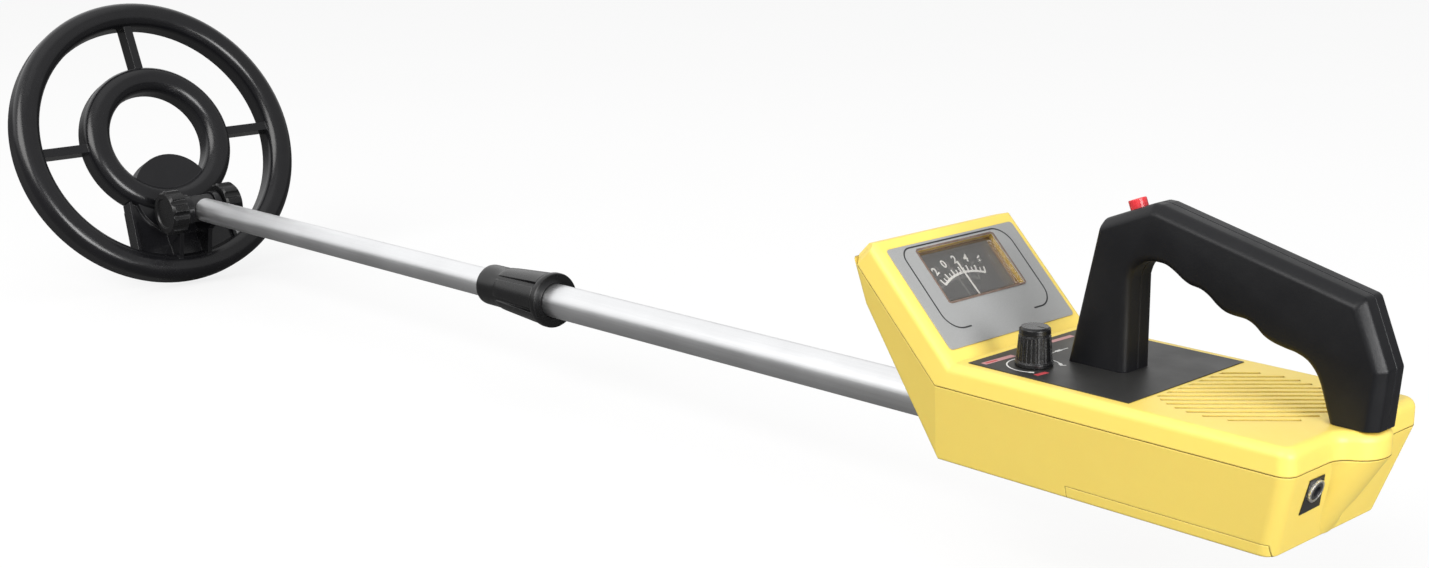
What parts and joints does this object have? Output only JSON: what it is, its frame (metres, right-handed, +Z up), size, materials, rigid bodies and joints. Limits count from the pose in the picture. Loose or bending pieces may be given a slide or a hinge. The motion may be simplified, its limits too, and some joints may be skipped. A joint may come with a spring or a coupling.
{
  "type": "metal detector",
  "caption": "Hand-held metal detector: wedge-nosed case with inclined meter and loop handle, telescoping tube stem with twist collar, and a tilting spoked ring search coil.",
  "frame": {"origin": "on the flat underside of the case, on its centre plane, straight below the crease between the deck and the inclined meter head", "axes": "+X back towards the user along the case, +Y to the user's right, +Z up; the stem runs forward along -X and droops 0.68 degrees"},
  "size_m": [0.8454, 0.1752, 0.1632],
  "materials": {
    "yellow_case": "satin moulded yellow ABS with a fine spark-eroded texture",
    "black_handle": "satin black moulded grip with a fine grain",
    "black_coil": "semi-gloss black moulded ABS",
    "black_knob": "semi-gloss black moulding",
    "black_nylon": "black nylon",
    "white_nylon": "natural nylon",
    "tube_aluminium": "satin anodised drawn tube",
    "silver_label": "silver-grey satin overlay",
    "black_label": "dark grey satin polycarbonate overlay",
    "amber_plastic": "translucent amber styrene",
    "dial_face": "dark grey printed dial",
    "needle_white": "white painted aluminium",
    "clear_lens": "clear styrene lens",
    "red_button": "glossy red",
    "nickel": "nickel plated brass",
    "zinc_steel": "zinc plated steel",
    "pcb_green": "green solder resist",
    "component_mix": "moulded components",
    "copper_winding": "enamelled copper wire",
    "paper_cone": "black paper cone",
    "ferrite": "ferrite magnet",
    "battery_can": "painted steel can",
    "cord_rubber": "black PVC sheath"
  },
  "bodies": {
    "housing": {"lower_housing": "yellow_case", "upper_housing": "yellow_case", "meter_panel": "silver_label", "control_panel": "black_label", "meter_case": "amber_plastic", "meter_movement": "ferrite", "meter_dial": "dial_face", "meter_window": "clear_lens", "potentiometer": "zinc_steel", "potentiometer_nut": "nickel", "potentiometer_leads": "nickel", "handle_left": "black_handle", "handle_right": "black_handle", "handle_screws": "zinc_steel", "handle_foot_screws": "zinc_steel", "button_switch": "component_mix", "button_spring": "zinc_steel", "speaker_frame": "zinc_steel", "speaker_magnet": "ferrite", "speaker_cone": "paper_cone", "circuit_board": "pcb_green", "board_components": "component_mix", "battery_left": "battery_can", "battery_right": "battery_can", "battery_contacts": "nickel", "headphone_jack": "component_mix", "jack_ring": "nickel", "jack_label": "black_label", "case_screws": "zinc_steel", "upper_tube": "tube_aluminium", "stem_clamp": "black_nylon", "clamp_screws": "zinc_steel", "collet_sleeve": "white_nylon", "coil_cord": "cord_rubber"},
    "door": {"battery_door": "yellow_case"},
    "needle": {"meter_needle": "needle_white"},
    "tuning": {"tuning_knob": "black_knob", "tuning_shaft": "nickel"},
    "button": {"push_button": "red_button"},
    "collar": {"lock_collar": "black_knob"},
    "lower_stem": {"lower_tube": "tube_aluminium", "stem_guide_bush": "white_nylon", "stem_end_fitting": "black_nylon"},
    "coil": {"coil_shell": "black_coil", "coil_bottom_cover": "black_coil", "transmit_winding": "copper_winding", "receive_winding": "copper_winding", "coil_terminal_board": "pcb_green", "friction_washers": "black_nylon"},
    "left_knob": {"left_pivot_knob": "black_knob", "pivot_bolt": "zinc_steel"},
    "right_knob": {"right_pivot_knob": "black_knob"}
  },
  "joints": [
    {"name": "stem_telescope", "type": "slide", "parent": "housing", "child": "lower_stem", "axis": [0.9999, 0, 0.0119], "range_m": [0, 0.18], "deforming": ["coil_cord"]},
    {"name": "collar_twist", "type": "hinge", "parent": "housing", "child": "collar", "pos_m": [-0.28998, 0, 0.00603], "axis": [0.9999, 0, 0.0119], "range_deg": [0, 90]},
    {"name": "coil_tilt", "type": "hinge", "parent": "lower_stem", "child": "coil", "pos_m": [-0.60596, 0, 0.00227], "axis": [0, 1, 0], "range_deg": [-65, 110]},
    {"name": "left_knob_turn", "type": "hinge", "parent": "coil", "child": "left_knob", "pos_m": [-0.60596, 0, 0.00227], "axis": [0, 1, 0], "continuous": true},
    {"name": "right_knob_turn", "type": "hinge", "parent": "coil", "child": "right_knob", "pos_m": [-0.60596, 0, 0.00227], "axis": [0, 1, 0], "continuous": true},
    {"name": "tuning_turn", "type": "hinge", "parent": "housing", "child": "tuning", "pos_m": [0.028, -0.0205, 0.045], "axis": [0, 0, 1], "range_deg": [-145, 145]},
    {"name": "button_press", "type": "slide", "parent": "housing", "child": "button", "axis": [0.3778, 0, -0.9259], "range_m": [0, 0.002], "deforming": ["button_spring"]},
    {"name": "needle_swing", "type": "hinge", "parent": "housing", "child": "needle", "pos_m": [-0.00057, 0, 0.04216], "axis": [0.7071, 0, 0.7071], "range_deg": [-25, 22]},
    {"name": "battery_door_open", "type": "hinge", "parent": "housing", "child": "door", "pos_m": [0.0524, 0, -0.00005], "axis": [0, 1, 0], "range_deg": [0, 80]}
  ]
}
